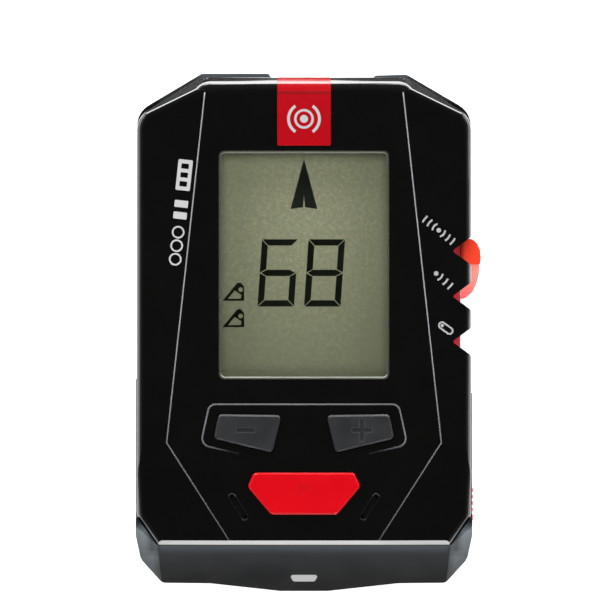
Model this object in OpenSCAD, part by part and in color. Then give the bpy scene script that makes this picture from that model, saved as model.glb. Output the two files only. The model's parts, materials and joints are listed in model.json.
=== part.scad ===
// Avalanche transceiver lying on its back: +Z out of the display, +Y to the top end.
// The origin is on the flat back face, on the axis of symmetry. Millimetres.

/* [Case] */
// Width across the front shell
case_w = 71.5; // [71:0.5:73]
// Height of the flat top above the back face
case_h = 22; // [22:0.25:23]
// Height of the joint between the two shells
joint_z = 12; // [12:0.1:12.3]
// Thickness of the side walls and the back wall
wall = 1.8; // [1.7:0.1:1.9]
// Thickness of the roof over the display and keys
roof_wall = 1.6; // [1.4:0.1:1.6]
// Slope of the long side facets, in degrees
side_slope = 6; // [4:0.5:6.5]
// Slope of the two lower corner facets, in degrees
corner_slope = 7; // [5:0.5:7.5]

/* [Display and keys] */
// Width of the display opening
window_w = 36.4; // [34:0.2:36.6]
// Length of the display opening
window_l = 48.8; // [46:0.2:49]
// Height that the keys stand above the roof
key_rise = 0.5; // [0.3:0.1:0.8]
// Travel of a key
key_travel = 0.7; // [0.4:0.1:0.7]

/* [Mode slider] */
// Distance between two positions of the slider
mode_pitch = 9.7; // [9.5:0.1:9.8]
// Depth of the notches beside the labels
notch_depth = 4.05; // [3:0.05:4.2]

/* [Batteries] */
// Diameter of a cell
cell_d = 10.5; // [10.1:0.1:10.5]
// Length of a cell with its button end
cell_l = 44.5; // [44:0.1:44.8]
// Distance between the axes of two cells
cell_pitch = 10.8; // [10.7:0.1:10.8]

/* [Hidden] */
$fn = 48;

// Case
half_w = case_w / 2;
front_low_y = -45.3;
front_top_y = 54.6;
ceiling_z = case_h - roof_wall;
shell_gap = 0.12;
chin_y = front_low_y - shell_gap;
chin_top_z = 19.4;
chin_end = [30.5, -53.7, 6];
arc_steps = 6;
reach_all = 300;

// Creases of the roof: right-hand corners of its flat middle, top to bottom
crease_right = [[21.2, 51.35], [29.35, -23.5], [16, -44.4]];
top_slope = 20;
bevel_slope = 42;
// The bevel along the top edge and its two chamfered corners
bevel_y = 53;
bevel_corner_x = 21.45;
bevel_drop = (bevel_y - crease_right[0].y) * tan(top_slope);

// Mode slider and its recess in the right-hand side
notch_first_y = 17.5;
notch_half_mouth = 2.94;
recess_x = 33.5;
recess_top_y = 20.6;
recess_low_y = -13;
lobe_under_z = 16.8;
inner_wall_x = 29.4;
rail_z = 8;
slider_clear = 0.1;
head_x = [31.5, 32.5];
head_half_z = 3;
neck_half_z = 1.6;
detent_y = notch_first_y - 2;
detent_seat_x = 27.8;
ball_r = 0.8;
ball_x = head_x[0] + slider_clear / 2 - ball_r;

// Keys
mat_top_z = 16.4;
key_seat_z = mat_top_z + key_travel + 1;
flange_z = key_seat_z + 1.1;
flange_top_z = ceiling_z - 0.1;
key_clear = 0.2;

// Circuit board and display stack
board_z = 14.4;
board_top_z = 15.4;
lcd_z = 17.2;
lcd_top_z = 19;
window_centre_y = 14.5;

// Case screws
screw_places = [[31.9, -17.2], [-31.9, -17.2], [29.8, 41.5], [-29.8, 41.5]];
screw_r = 1;
screw_head_r = 1.9;
screw_seat_z = 3.3;
screw_tip_z = 17;

// Antennas
rod_r = 3.6;
coil_r = 4.4;
rod_z = 7.4;
rod_y_x = -24;
rod_x_y = 46.2;
z_coil_at = [6, 18];

// Battery bay, door and latch
bay_half_x = 24.6;
bay_low_y = -42;
bay_top_y = -9.2;
bay_roof_z = 13.2;
bay_wall = 0.8;
cell_y = -25.6;
cell_z = 7.55;
contact_t = 0.4;
nub_l = 0.8;
spring_l = 2 * (bay_half_x - contact_t) - cell_l;
hinge_x = -27;
hinge_z = 1.5;
hinge_r = 1.5;
pin_r = 0.6;
door_t = 1.6;
door_right_x = 28.5;
door_low_y = -42.6;
door_top_y = -8.9;
shell_lugs = [[-42.6, -39], [-27.4, -23.6], [-12.3, -8.9]];
door_knuckles = [[-38.8, -27.6], [-23.4, -12.5]];
tab_starts = [-37.8, -25];
tab_l = 2.6;
latch_travel = 3;

// Corner lists are [x, y, radius], counter-clockwise
front_right = [
    [31.4, front_low_y, 0.8], [half_w, -39.2, 3], [half_w, 46.1, 5], [21.9, front_top_y, 5]
];
notched_right = [
    [31.4, front_low_y, 0.8], [half_w, -39.2, 3],
    for (i = [2:-1:0], side = [-1, 0, 1])
        [half_w - (side == 0 ? notch_depth : 0),
         notch_first_y - i * mode_pitch + side * notch_half_mouth, side == 0 ? 0.4 : 1.2],
    [half_w, 46.1, 5], [21.9, front_top_y, 5]
];
rear_side = half_w + 0.25;
rear_low = [
    [5.1, -55.5, 1.5], [20.2, -53.8, 2], [30.4, -53.7, 1.5], [35, -48.6, 3],
    [rear_side, -43.5, 2], [rear_side, -10.2, 0.3], [half_w, -9.5, 0.3], [half_w, 47.25, 5]
];
rear_top = [
    [22, 55.3, 1.5], [15.3, 55.1, 0.4], [14.8, front_top_y, 0.4],
    [-7, front_top_y, 0.4], [-7.6, 55.5, 0.4], [-21.9, 55.5, 1.5]
];
front_outline = concat(front_right, flipped(front_right));
front_notched = concat(notched_right, flipped(front_right));
rear_outline = concat(rear_low, rear_top, flipped(rear_low));
cavity_right = inset(front_outline, wall);
cavity = concat(
    [cavity_right[0], cavity_right[1],
     [half_w - wall, -16, 0.5], [inner_wall_x, -16, 0.5],
     [inner_wall_x, 22.4, 0.5], [half_w - wall, 22.4, 0.5]],
    [for (i = [2:7]) cavity_right[i]]
);
lanyard_slot = [[-2.3, -53.5, 0.5], [2.3, -53.5, 0.5], [3.2, -51.95, 0.5], [-3.2, -51.95, 0.5]];
window = centred_box(window_w, window_l, window_centre_y, 1);
plus_outline = [[6.8, -25.6, 0.8], [19.3, -22.6, 0.8], [18.2, -17.4, 0.8], [4.8, -17.6, 0.8]];
minus_outline = flipped(plus_outline);
main_right = [[7, -38.85, 1], [12.05, -32.9, 1], [10.7, -29.9, 1]];
main_outline = concat(main_right, flipped(main_right));
badge_outline = [[-5.7, 40, 0.3], [5.7, 40, 0.3], [5.7, 54.5, 0.3], [-5.7, 54.5, 0.3]];
sound_slot = [[15.4, -35.1], [12.7, -39.3]];
sound_slot_w = 1.25;
mat_right = [[8, -41, 1], [12.6, -36, 1], [12.6, -30.5, 1], [21.5, -27.5, 1], [21.5, -15.4, 1]];
board_right = [
    [30, -43, 1], [31.5, -40, 1], [31.5, -16.6, 0.5], [29, -16.6, 0.5],
    [29, 23, 0.5], [31.5, 23, 0.5], [31.5, 44, 2], [20.5, 50.8, 2]
];
grip_outline = [
    [33.6, 14.6, 0.3], [37.7, 14.6, 0.4], [37.85, 16, 1], [37.7, 17.7, 1.5],
    [37, 19.2, 1], [35.9, 20.1, 1], [33.6, 20, 0.3]
];
tail_outline = [
    [33.6, 7.1, 0.3], [34.6, 7.4, 1], [36.1, 8.7, 1.5], [36.9, 10.4, 2],
    [37.45, 12.3, 2], [37.65, 14.6, 0.3], [33.6, 14.6, 0.3]
];

// Vector and outline helpers
function unit(v) = v / norm(v);
function left_of(v) = [-v.y, v.x];
function xy(p) = [p.x, p.y];
function turned(v, a) = [v.x * cos(a) - v.y * sin(a), v.x * sin(a) + v.y * cos(a)];
function flipped(list) = [for (i = [len(list) - 1:-1:0]) [-list[i].x, list[i].y, list[i].z]];
function neighbour(list, i, step) = xy(list[(i + step + len(list)) % len(list)]);

function moved_corner(a, b, c, d) =
    let (n1 = left_of(unit(b - a)), n2 = left_of(unit(c - b)), m = unit(n1 + n2))
    b + m * d / (m * n1);

// The same outline moved inwards by d, or outwards where d is negative
function inset(list, d) = [
    for (i = [0:len(list) - 1])
        let (p = moved_corner(neighbour(list, i, -1), xy(list[i]), neighbour(list, i, 1), d))
        [p.x, p.y, max(list[i].z - d, 0.2)]
];

function corner_arc(a, b, c, r) =
    let (u = unit(a - b), v = unit(c - b), half_angle = acos(u * v) / 2,
         centre = b + unit(u + v) * r / sin(half_angle),
         start = b + u * r / tan(half_angle) - centre,
         side = cross(u, v) > 0 ? -1 : 1)
    [for (s = [0:arc_steps]) centre + turned(start, side * (180 - 2 * half_angle) * s / arc_steps)];

function rounded(list) = [
    for (i = [0:len(list) - 1])
        each corner_arc(neighbour(list, i, -1), xy(list[i]), neighbour(list, i, 1), list[i].z)
];

function centred_box(w, l, y, r) = [
    [-w / 2, y - l / 2, r], [w / 2, y - l / 2, r], [w / 2, y + l / 2, r], [-w / 2, y + l / 2, r]
];

function capsule(a, b, w) =
    let (u = unit(b - a) * w / 2, n = left_of(u), r = w / 2 - 0.01,
         corners = [a - u + n, a - u - n, b + u - n, b + u + n])
    [for (p = corners) [p.x, p.y, r]];

module plate(list, z0, z1) {
    translate([0, 0, z0])
        linear_extrude(z1 - z0)
            polygon(rounded(list));
}

module block(low, high) {
    translate(low)
        cube(high - low);
}

// The space below the plane through p with the upward normal n
module below(p, n) {
    translate(p)
        rotate([0, acos(n.z), atan2(n.y, n.x)])
            translate([-reach_all / 2, -reach_all / 2, -reach_all])
                cube(reach_all);
}

// Planes that bound the roof: [point, the way it falls, slope, drop below the flat middle]
function roof_planes() =
    let (right = crease_right, left = [for (p = right) [-p.x, p.y]],
         chamfer = left_of(unit(xy(front_right[3]) - xy(front_right[2]))) * -1)
    [
        [right[0], left_of(unit(right[1] - right[0])), side_slope, 0],
        [right[1], left_of(unit(right[2] - right[1])), corner_slope, 0],
        [right[2], [0, -1], bevel_slope, 0],
        [left[1], left_of(unit(left[1] - left[2])), corner_slope, 0],
        [left[0], left_of(unit(left[0] - left[1])), side_slope, 0],
        [right[0], [0, 1], top_slope, 0],
        [[0, bevel_y], [0, 1], bevel_slope, bevel_drop],
        [[bevel_corner_x, bevel_y], chamfer, bevel_slope, bevel_drop],
        [[-bevel_corner_x, bevel_y], [-chamfer.x, chamfer.y], bevel_slope, bevel_drop]
    ];

// Everything below the faceted roof when its flat middle is at height z
module roof_space(z) {
    intersection() {
        block([-60, -70, -1], [60, 70, z]);
        intersection_for (f = roof_planes())
            below([f[0].x, f[0].y, z - f[3]],
                  [f[1].x * sin(f[2]), f[1].y * sin(f[2]), cos(f[2])]);
    }
}

// A coil spring or contact spring along +Z, as a swept wire
module coil_spring(r0, r1, wire_r, height, turns) {
    sides = 6;
    rings = turns * 12;
    points = [
        for (i = [0:rings], s = [0:sides - 1])
            let (t = i / rings, r = r0 + (r1 - r0) * t + wire_r * cos(360 * s / sides))
            [r * cos(360 * turns * t), r * sin(360 * turns * t),
             wire_r + (height - 2 * wire_r) * t + wire_r * sin(360 * s / sides)]
    ];
    skin = [
        for (i = [0:rings - 1], s = [0:sides - 1])
            let (a = i * sides + s, b = i * sides + (s + 1) % sides)
            [a, a + sides, b + sides, b]
    ];
    polyhedron(points, concat(skin,
        [[for (s = [0:sides - 1]) s]],
        [[for (s = [sides - 1:-1:0]) rings * sides + s]]));
}

module front_shell() {
    color([0.05, 0.05, 0.05])
        difference() {
            union() {
                difference() {
                    intersection() {
                        plate(front_notched, joint_z, case_h);
                        roof_space(case_h);
                    }
                    intersection() {
                        plate(cavity, joint_z - 1, case_h);
                        roof_space(ceiling_z);
                    }
                }
                for (p = screw_places)
                    translate([p.x, p.y, joint_z])
                        cylinder(r = 2.2, h = ceiling_z - joint_z - 0.6);
            }
            for (p = screw_places)
                translate([p.x, p.y, joint_z - 1])
                    cylinder(r = screw_r + 0.02, h = screw_tip_z + 0.5 - joint_z + 1);
            block([31.2, -5.3, joint_z - 1], [40, recess_top_y, lobe_under_z]);
            plate(window, ceiling_z - 1, case_h + 1);
            plate(inset(plus_outline, -key_clear), ceiling_z - 1, case_h + 1);
            plate(inset(minus_outline, -key_clear), ceiling_z - 1, case_h + 1);
            plate(inset(main_outline, -key_clear), ceiling_z - 1, case_h + 1);
            sound_slots();
            mirror([1, 0, 0])
                sound_slots();
            difference() {
                plate(inset(badge_outline, -0.05), 15, case_h + 1);
                roof_space(case_h - 0.4);
            }
        }
}

module sound_slots() {
    plate(capsule(sound_slot[0], sound_slot[1], sound_slot_w), ceiling_z - 1, case_h + 1);
}

module rear_shell() {
    chin_n = unit([0, chin_end.z - chin_top_z, -(chin_end.y - chin_y)]);
    ridge = [31.4, chin_y, chin_top_z];
    side_n = unit(cross(chin_end - ridge, [rear_side, chin_y, joint_z] - ridge));
    color([0.16, 0.16, 0.17])
        difference() {
            union() {
                difference() {
                    intersection() {
                        union() {
                            plate(rear_outline, 0, joint_z);
                            chin_block();
                        }
                        below(ridge, chin_n);
                        below(ridge, side_n);
                        below([-ridge.x, ridge.y, ridge.z], [-side_n.x, side_n.y, side_n.z]);
                    }
                    plate(cavity, wall, joint_z + 1);
                    door_opening();
                }
                battery_bay();
                hinge_lugs();
                for (p = screw_places)
                    screw_boss(p);
                for (p = [[18, 36], [-14, 34], [20, 0]])
                    translate([p.x, p.y, wall - 0.1])
                        cylinder(r = 1.6, h = board_z - wall + 0.1);
                block([detent_seat_x - 0.8, detent_y - 2, wall - 0.1],
                      [inner_wall_x + 0.1, detent_y + 2, rail_z + 2]);
            }
            plate(lanyard_slot, -1, 30);
            for (p = screw_places)
                screw_hole(p);
            difference() {
                plate(inset(cavity, -1.2), joint_z - 0.6, joint_z + 1);
                plate(inset(cavity, -0.6), joint_z - 1, joint_z + 2);
            }
            block([recess_x, recess_low_y, -1], [40, recess_top_y, joint_z + 1]);
            slider_groove();
            latch_openings();
            grip_grooves();
        }
}

module door_opening() {
    block([hinge_x - hinge_r - 0.2, door_low_y - 0.15, -1],
          [door_right_x + 0.15, door_top_y + 0.15, wall + 1]);
}

module chin_block() {
    difference() {
        plate(rear_outline, joint_z - 1, chin_top_z);
        plate(inset(front_outline, -shell_gap), joint_z, chin_top_z + 1);
        block([-60, -39.6, 0], [60, 70, 30]);
    }
}

module battery_bay() {
    difference() {
        block([-bay_half_x - bay_wall, -43.4, door_t + 0.1],
              [bay_half_x + bay_wall, bay_top_y + 1.6, bay_roof_z + bay_wall]);
        block([-bay_half_x, bay_low_y, 0], [bay_half_x, bay_top_y, bay_roof_z]);
        for (side = [-1, 1])
            block([side * 24.35 - 0.35, cell_y - side * cell_pitch - 1.1, bay_roof_z - 1],
                  [side * 24.35 + 0.35, cell_y - side * cell_pitch + 1.1, bay_roof_z + 2]);
    }
}

module hinge_lugs() {
    for (span = shell_lugs)
        difference() {
            union() {
                translate([hinge_x, span[1], hinge_z])
                    rotate([90, 0, 0])
                        cylinder(r = hinge_r, h = span[1] - span[0]);
                block([hinge_x - hinge_r - 1, span[0], 0], [hinge_x, span[1], 2 * hinge_r]);
            }
            translate([hinge_x, span[1] + 1, hinge_z])
                rotate([90, 0, 0])
                    cylinder(r = pin_r + 0.01, h = span[1] - span[0] + 2);
        }
}

module screw_boss(p) {
    translate([p.x, p.y, wall - 0.1])
        cylinder(r = 2.9, h = 3.4);
    translate([p.x, p.y, wall])
        cylinder(r = 2.2, h = joint_z - wall);
}

module screw_hole(p) {
    translate([p.x, p.y, -1])
        cylinder(r = screw_head_r + 0.15, h = screw_seat_z + 1);
    translate([p.x, p.y, 0])
        cylinder(r = screw_r + 0.15, h = joint_z + 1);
}

module slider_groove() {
    block([head_x[1], -10.4, rail_z - neck_half_z], [recess_x + 1, 20, rail_z + neck_half_z]);
    block([head_x[0], -10.4, rail_z - head_half_z], [head_x[1], 20, rail_z + head_half_z]);
    translate([detent_seat_x, detent_y, rail_z])
        rotate([0, 90, 0])
            cylinder(r = ball_r + 0.05, h = head_x[0] - detent_seat_x + 0.1);
}

module latch_openings() {
    block([35, -40.5, 2.2], [40, -30.1, 7.2]);
    block([31.9, -38.7, 3.3], [36, -31.9, 5.1]);
}

// Shallow finger grooves across the upper half of the back
module grip_grooves() {
    for (i = [0:6])
        block([-16 + abs(i - 3), 20 + 4 * i, -1], [16 - abs(i - 3), 21.4 + 4 * i, 0.6]);
}

module shell_seal() {
    color([0.3, 0.3, 0.32])
        difference() {
            plate(inset(cavity, -1.2), joint_z - 0.6, joint_z);
            plate(inset(cavity, -0.6), joint_z - 1, joint_z + 1);
        }
}

module case_screws() {
    color("silver")
        for (p = screw_places)
            translate([p.x, p.y, 0])
                difference() {
                    union() {
                        translate([0, 0, screw_seat_z - 1.5])
                            cylinder(r = screw_head_r, h = 1.5);
                        translate([0, 0, screw_seat_z])
                            cylinder(r = screw_r, h = screw_tip_z - screw_seat_z);
                    }
                    for (a = [0, 90])
                        rotate([0, 0, a])
                            block([-1.2, -0.25, 0], [1.2, 0.25, screw_seat_z - 0.7]);
                }
}

module display_window() {
    color([0.8, 0.85, 0.8, 0.4]) {
        plate(inset(window, -1.4), lcd_top_z + 0.1, ceiling_z);
        plate(inset(window, 0.1), ceiling_z, case_h - 0.25);
    }
}

module lcd_panel() {
    color([0.5, 0.52, 0.42])
        plate(centred_box(38, 53, 14.1, 0.3), lcd_z, lcd_top_z);
}

module lcd_backlight() {
    color("white")
        plate(centred_box(37.8, 50.2, 15.3, 0.5), board_top_z, lcd_z);
}

module lcd_frame() {
    color([0.85, 0.85, 0.83])
        difference() {
            plate(centred_box(41.2, 56.4, 13.8, 1), board_top_z, lcd_top_z);
            plate(centred_box(38.2, 53.4, 14.1, 0.5), board_top_z - 1, lcd_top_z + 1);
        }
}

module lcd_connector_strip() {
    color([0.2, 0.2, 0.25])
        block([-17, -12.2, board_top_z], [17, -10.2, lcd_z]);
}

module badge() {
    color([0.78, 0.06, 0.09])
        difference() {
            intersection() {
                plate(badge_outline, 15, case_h + 1);
                roof_space(case_h + 0.2);
            }
            roof_space(case_h - 0.4);
        }
}

module track_strip() {
    color([0.8, 0.24, 0.3])
        block([31.3, -5.2, joint_z], [recess_x - 0.05, recess_top_y - 0.1, joint_z + 0.7]);
}

module sound_membranes() {
    middle = (sound_slot[0] + sound_slot[1]) / 2;
    color([0.25, 0.25, 0.25])
        for (side = [-1, 1])
            translate([side * (middle.x + 1), middle.y, ceiling_z - 0.3])
                cylinder(r = 3.3, h = 0.3);
}

module slider_carriage() {
    color([0.75, 0.1, 0.12])
        difference() {
            union() {
                block([head_x[0] + slider_clear, 9.6, rail_z - head_half_z + slider_clear],
                      [head_x[1] - slider_clear, 19.4, rail_z + head_half_z - slider_clear]);
                block([head_x[0] + slider_clear, 9.6, rail_z - neck_half_z + slider_clear],
                      [recess_x + slider_clear, 19.4, rail_z + neck_half_z - slider_clear]);
            }
            magnet_space(0);
        }
}

module magnet_space(gap) {
    translate([32, 12.5, rail_z])
        rotate([0, 90, 0])
            cylinder(r = 1 - gap, h = 1.5);
}

module slider_magnet() {
    color("gray")
        magnet_space(0.01);
}

module slider_grip() {
    color([0.96, 0.28, 0.19])
        difference() {
            plate(grip_outline, 3.5, 16.3);
            for (i = [0:2])
                block([37.3, 15.4 + 1.3 * i, 4.5], [40, 15.9 + 1.3 * i, 15.3]);
        }
}

module slider_tail() {
    color([0.94, 0.55, 0.52, 0.6])
        plate(tail_outline, 3.5, 11.5);
}

module detent_ball() {
    color("silver")
        translate([ball_x, detent_y, rail_z])
            sphere(r = ball_r);
}

module detent_spring() {
    color("silver")
        translate([detent_seat_x, detent_y, rail_z])
            rotate([0, 90, 0])
                coil_spring(0.55, 0.55, 0.12, ball_x - ball_r - detent_seat_x + 0.1, 4);
}

module hall_sensors() {
    color([0.1, 0.1, 0.1])
        for (i = [0:2])
            block([26.6, notch_first_y - 5 - i * mode_pitch - 1.2, board_z - 1],
                  [28.6, notch_first_y - 5 - i * mode_pitch + 1.2, board_z]);
}

module key(outline) {
    top_z = case_h + key_rise;
    plate(inset(outline, 1.2), key_seat_z, flange_z);
    plate(inset(outline, -0.7), flange_z, flange_top_z);
    plate(outline, flange_top_z, top_z - 0.4);
    hull() {
        plate(outline, top_z - 0.41, top_z - 0.4);
        plate(inset(outline, 0.4), top_z - 0.01, top_z);
    }
}

module minus_key() {
    color([0.19, 0.19, 0.2])
        difference() {
            key(minus_outline);
            block([-14.65, -21.45, case_h + key_rise - 0.2], [-10.35, -20.15, 30]);
        }
}

module plus_key() {
    color([0.19, 0.19, 0.2])
        difference() {
            key(plus_outline);
            block([10.1, -21.45, case_h + key_rise - 0.2], [14.7, -20.15, 30]);
            block([11.75, -23.3, case_h + key_rise - 0.2], [13.05, -18.3, 30]);
        }
}

module main_key() {
    color([0.87, 0.02, 0.09])
        key(main_outline);
}

module dome(p) {
    color([0.6, 0.6, 0.6])
        translate([p.x, p.y, mat_top_z])
            cylinder(r1 = 3, r2 = 2, h = key_seat_z - mat_top_z);
}

module keypad_mat() {
    color([0.55, 0.55, 0.55])
        plate(concat(mat_right, flipped(mat_right)), board_top_z, mat_top_z);
}

module circuit_board() {
    color([0.05, 0.35, 0.15])
        difference() {
            plate(concat(board_right, flipped(board_right)), board_z, board_top_z);
            for (p = screw_places)
                translate([p.x, p.y, board_z - 1])
                    cylinder(r = 2.5, h = 4);
            for (side = [-1, 1])
                block([side * 24.4 - 0.3, cell_y - side * cell_pitch - 1.1, 0],
                      [side * 24.4 + 0.3, cell_y - side * cell_pitch + 1.1, 30]);
        }
}

module microcontroller() {
    color([0.12, 0.12, 0.12])
        block([-10, 2, board_z - 1.2], [0, 12, board_z]);
}

module radio_module() {
    color("silver")
        block([-12, 18, board_z - 2], [-3, 30, board_z]);
}

module smd_parts() {
    color([0.7, 0.6, 0.4]) {
        for (i = [0:4])
            block([16 + 1.8 * (i % 2), 22 + 2 * i, board_z - 0.8], [17.2 + 1.8 * (i % 2), 23 + 2 * i, board_z]);
        for (i = [0:3])
            block([-9 + 2.4 * i, -1.6, board_z - 0.7], [-7.6 + 2.4 * i, -0.8, board_z]);
        block([3, 31, board_z - 1.2], [7.9, 34.2, board_z]);
    }
}

module buzzer() {
    color([0.15, 0.15, 0.15])
        difference() {
            block([13.2, -41.8, board_top_z], [20.4, -34.6, 18.4]);
            translate([16.8, -38.2, 17.6])
                cylinder(r = 1, h = 2);
        }
}

module along_y(x, z, y0, y1, r) {
    translate([x, y1, z])
        rotate([90, 0, 0])
            cylinder(r = r, h = y1 - y0);
}

module along_x(y, z, x0, x1, r) {
    translate([x0, y, z])
        rotate([0, 90, 0])
            cylinder(r = r, h = x1 - x0);
}

module antenna_y_core() {
    color([0.25, 0.25, 0.27])
        along_y(rod_y_x, rod_z, -4, 40, rod_r);
}

module antenna_y_coil() {
    color([0.72, 0.4, 0.2])
        difference() {
            along_y(rod_y_x, rod_z, 3, 33, coil_r);
            along_y(rod_y_x, rod_z, 2, 34, rod_r);
        }
}

module antenna_x_core() {
    color([0.25, 0.25, 0.27])
        along_x(rod_x_y, rod_z, -17, 17, rod_r);
}

module antenna_x_coil() {
    color([0.72, 0.4, 0.2])
        difference() {
            along_x(rod_x_y, rod_z, -11, 11, coil_r);
            along_x(rod_x_y, rod_z, -12, 12, rod_r);
        }
}

module antenna_z_core() {
    color([0.25, 0.25, 0.27])
        translate([z_coil_at.x, z_coil_at.y, wall])
            cylinder(r = 3, h = 10.4);
}

module antenna_z_coil() {
    color([0.72, 0.4, 0.2])
        translate([z_coil_at.x, z_coil_at.y, 3])
            difference() {
                cylinder(r = 7.5, h = 8);
                translate([0, 0, -1])
                    cylinder(r = 3, h = 10);
            }
}

module antenna_clips() {
    color([0.9, 0.9, 0.88])
        difference() {
            union() {
                for (y = [-2.5, 35])
                    block([rod_y_x - coil_r, y, wall], [rod_y_x + coil_r, y + 3, 11.6]);
                for (x = [-15.5, 12.5])
                    block([x, rod_x_y - coil_r, wall], [x + 3, rod_x_y + coil_r, 11.6]);
            }
            along_y(rod_y_x, rod_z, -10, 50, rod_r);
            along_x(rod_x_y, rod_z, -30, 30, rod_r);
        }
}

// Cell number i from -1 to 1; the button end points to +X for the outer two
module cell(i) {
    side = i == 0 ? -1 : 1;
    y = cell_y + i * cell_pitch;
    tip = bay_half_x - contact_t;
    mirror([side < 0 ? 1 : 0, 0, 0]) {
        along_x(y, cell_z, tip - cell_l, tip - nub_l, cell_d / 2);
        along_x(y, cell_z, tip - nub_l - 0.1, tip, 2.75);
    }
}

module battery_1() {
    color([0.2, 0.22, 0.25])
        cell(-1);
}

module battery_2() {
    color([0.2, 0.22, 0.25])
        cell(0);
}

module battery_3() {
    color([0.2, 0.22, 0.25])
        cell(1);
}

module battery_springs() {
    color("silver")
        for (i = [-1:1]) {
            side = i == 0 ? 1 : -1;
            mirror([side < 0 ? 1 : 0, 0, 0])
                translate([bay_half_x - contact_t - spring_l, cell_y + i * cell_pitch, cell_z])
                    rotate([0, 90, 0])
                        coil_spring(2.4, 3.9, 0.35, spring_l, 3);
        }
}

module battery_contacts() {
    color([0.8, 0.8, 0.78])
        for (side = [-1, 1]) {
            outer = side * bay_half_x;
            inner = side * (bay_half_x - contact_t);
            low_x = min(outer, inner);
            high_x = max(outer, inner);
            bridge_y = cell_y + side * cell_pitch / 2;
            single_y = cell_y - side * cell_pitch;
            block([low_x, bridge_y - 9.6, 3.5], [high_x, bridge_y + 9.6, 11.6]);
            block([low_x, single_y - 4.2, 3.5], [high_x, single_y + 4.2, 11.6]);
            block([low_x, single_y - 1, 11], [high_x, single_y + 1, 15.8]);
        }
}

module battery_door() {
    color([0.17, 0.17, 0.18])
        difference() {
            union() {
                difference() {
                    block([hinge_x, door_low_y, 0], [door_right_x, door_top_y, door_t]);
                    for (span = shell_lugs)
                        block([hinge_x - 1, span[0] - 0.2, -1], [hinge_x + 1.7, span[1] + 0.2, 4]);
                }
                for (span = door_knuckles)
                    along_y(hinge_x, hinge_z, span[0], span[1], hinge_r);
                for (y = tab_starts) {
                    block([25.9, y, door_t - 0.1], [26.7, y + tab_l, 4.6]);
                    block([25.9, y, 3.4], [28.4, y + tab_l, 4.6]);
                }
            }
            along_y(hinge_x, hinge_z, -60, 10, pin_r + 0.05);
            for (i = [0:4])
                block([20, -31 + 2.2 * i, -1], [26, -30.2 + 2.2 * i, 0.5]);
        }
}

module door_foam() {
    color([0.3, 0.3, 0.3])
        for (x = [-13, 9])
            block([x, -40, door_t], [x + 4, -11, 2.2]);
}

module door_hinge_pin() {
    color("silver")
        along_y(hinge_x, hinge_z, -42.6, -8.9, pin_r);
}

module door_latch() {
    color([0.85, 0.05, 0.1]) {
        block([29.2, -41, 2], [31.8, -25, 5.2]);
        for (y = tab_starts)
            block([26.9, y - latch_travel, 2], [29.3, y - latch_travel + tab_l, 3.1]);
        block([31.7, -38.5, 3.4], [35.2, -35.1, 5]);
        difference() {
            block([35.1, -40.2, 2.4], [36.25, -33.4, 7]);
            for (i = [0:3])
                block([35.95, -39 + 1.4 * i, 2], [37, -38.4 + 1.4 * i, 8]);
        }
    }
}

front_shell();
rear_shell();
shell_seal();
case_screws();
display_window();
lcd_panel();
lcd_backlight();
lcd_frame();
lcd_connector_strip();
badge();
track_strip();
sound_membranes();
slider_carriage();
slider_grip();
slider_tail();
slider_magnet();
detent_ball();
detent_spring();
hall_sensors();
minus_key();
plus_key();
main_key();
dome([-12.4, -20.9]);  // minus_dome
dome([12.4, -20.9]);  // plus_dome
dome([0, -34]);  // main_dome
keypad_mat();
circuit_board();
microcontroller();
radio_module();
smd_parts();
buzzer();
antenna_y_core();
antenna_y_coil();
antenna_x_core();
antenna_x_coil();
antenna_z_core();
antenna_z_coil();
antenna_clips();
battery_1();
battery_2();
battery_3();
battery_springs();
battery_contacts();
battery_door();
door_foam();
door_hinge_pin();
door_latch();
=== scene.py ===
import json
import math

import bmesh
import bpy
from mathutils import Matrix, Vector
from mathutils.bvhtree import BVHTree


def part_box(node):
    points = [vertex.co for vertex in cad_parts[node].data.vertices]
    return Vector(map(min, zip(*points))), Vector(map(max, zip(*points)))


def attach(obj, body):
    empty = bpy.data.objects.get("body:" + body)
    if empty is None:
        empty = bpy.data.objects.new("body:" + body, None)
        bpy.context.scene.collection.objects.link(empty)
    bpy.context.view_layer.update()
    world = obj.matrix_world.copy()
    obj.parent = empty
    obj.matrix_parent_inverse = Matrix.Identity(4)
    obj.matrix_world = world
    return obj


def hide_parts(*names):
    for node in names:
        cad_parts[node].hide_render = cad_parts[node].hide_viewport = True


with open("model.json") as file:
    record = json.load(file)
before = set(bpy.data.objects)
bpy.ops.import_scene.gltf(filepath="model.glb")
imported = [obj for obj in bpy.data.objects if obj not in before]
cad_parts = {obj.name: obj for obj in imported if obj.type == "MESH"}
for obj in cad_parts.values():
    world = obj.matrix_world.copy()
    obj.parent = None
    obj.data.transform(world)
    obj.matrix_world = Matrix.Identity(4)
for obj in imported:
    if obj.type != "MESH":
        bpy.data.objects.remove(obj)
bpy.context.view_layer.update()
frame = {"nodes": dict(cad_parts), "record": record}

# Sizes on the object are in millimetres, and MM turns them into metres. The lights' sizes are in metres.
MM = 0.001
NODES = frame["nodes"]
BODY_OF = {node: body for body, group in frame["record"]["behaviour"]["bodies"].items() for node in group}
SLOT_OF = {row["node"]: row["material_slot"] for row in frame["record"]["subparts"]}

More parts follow.
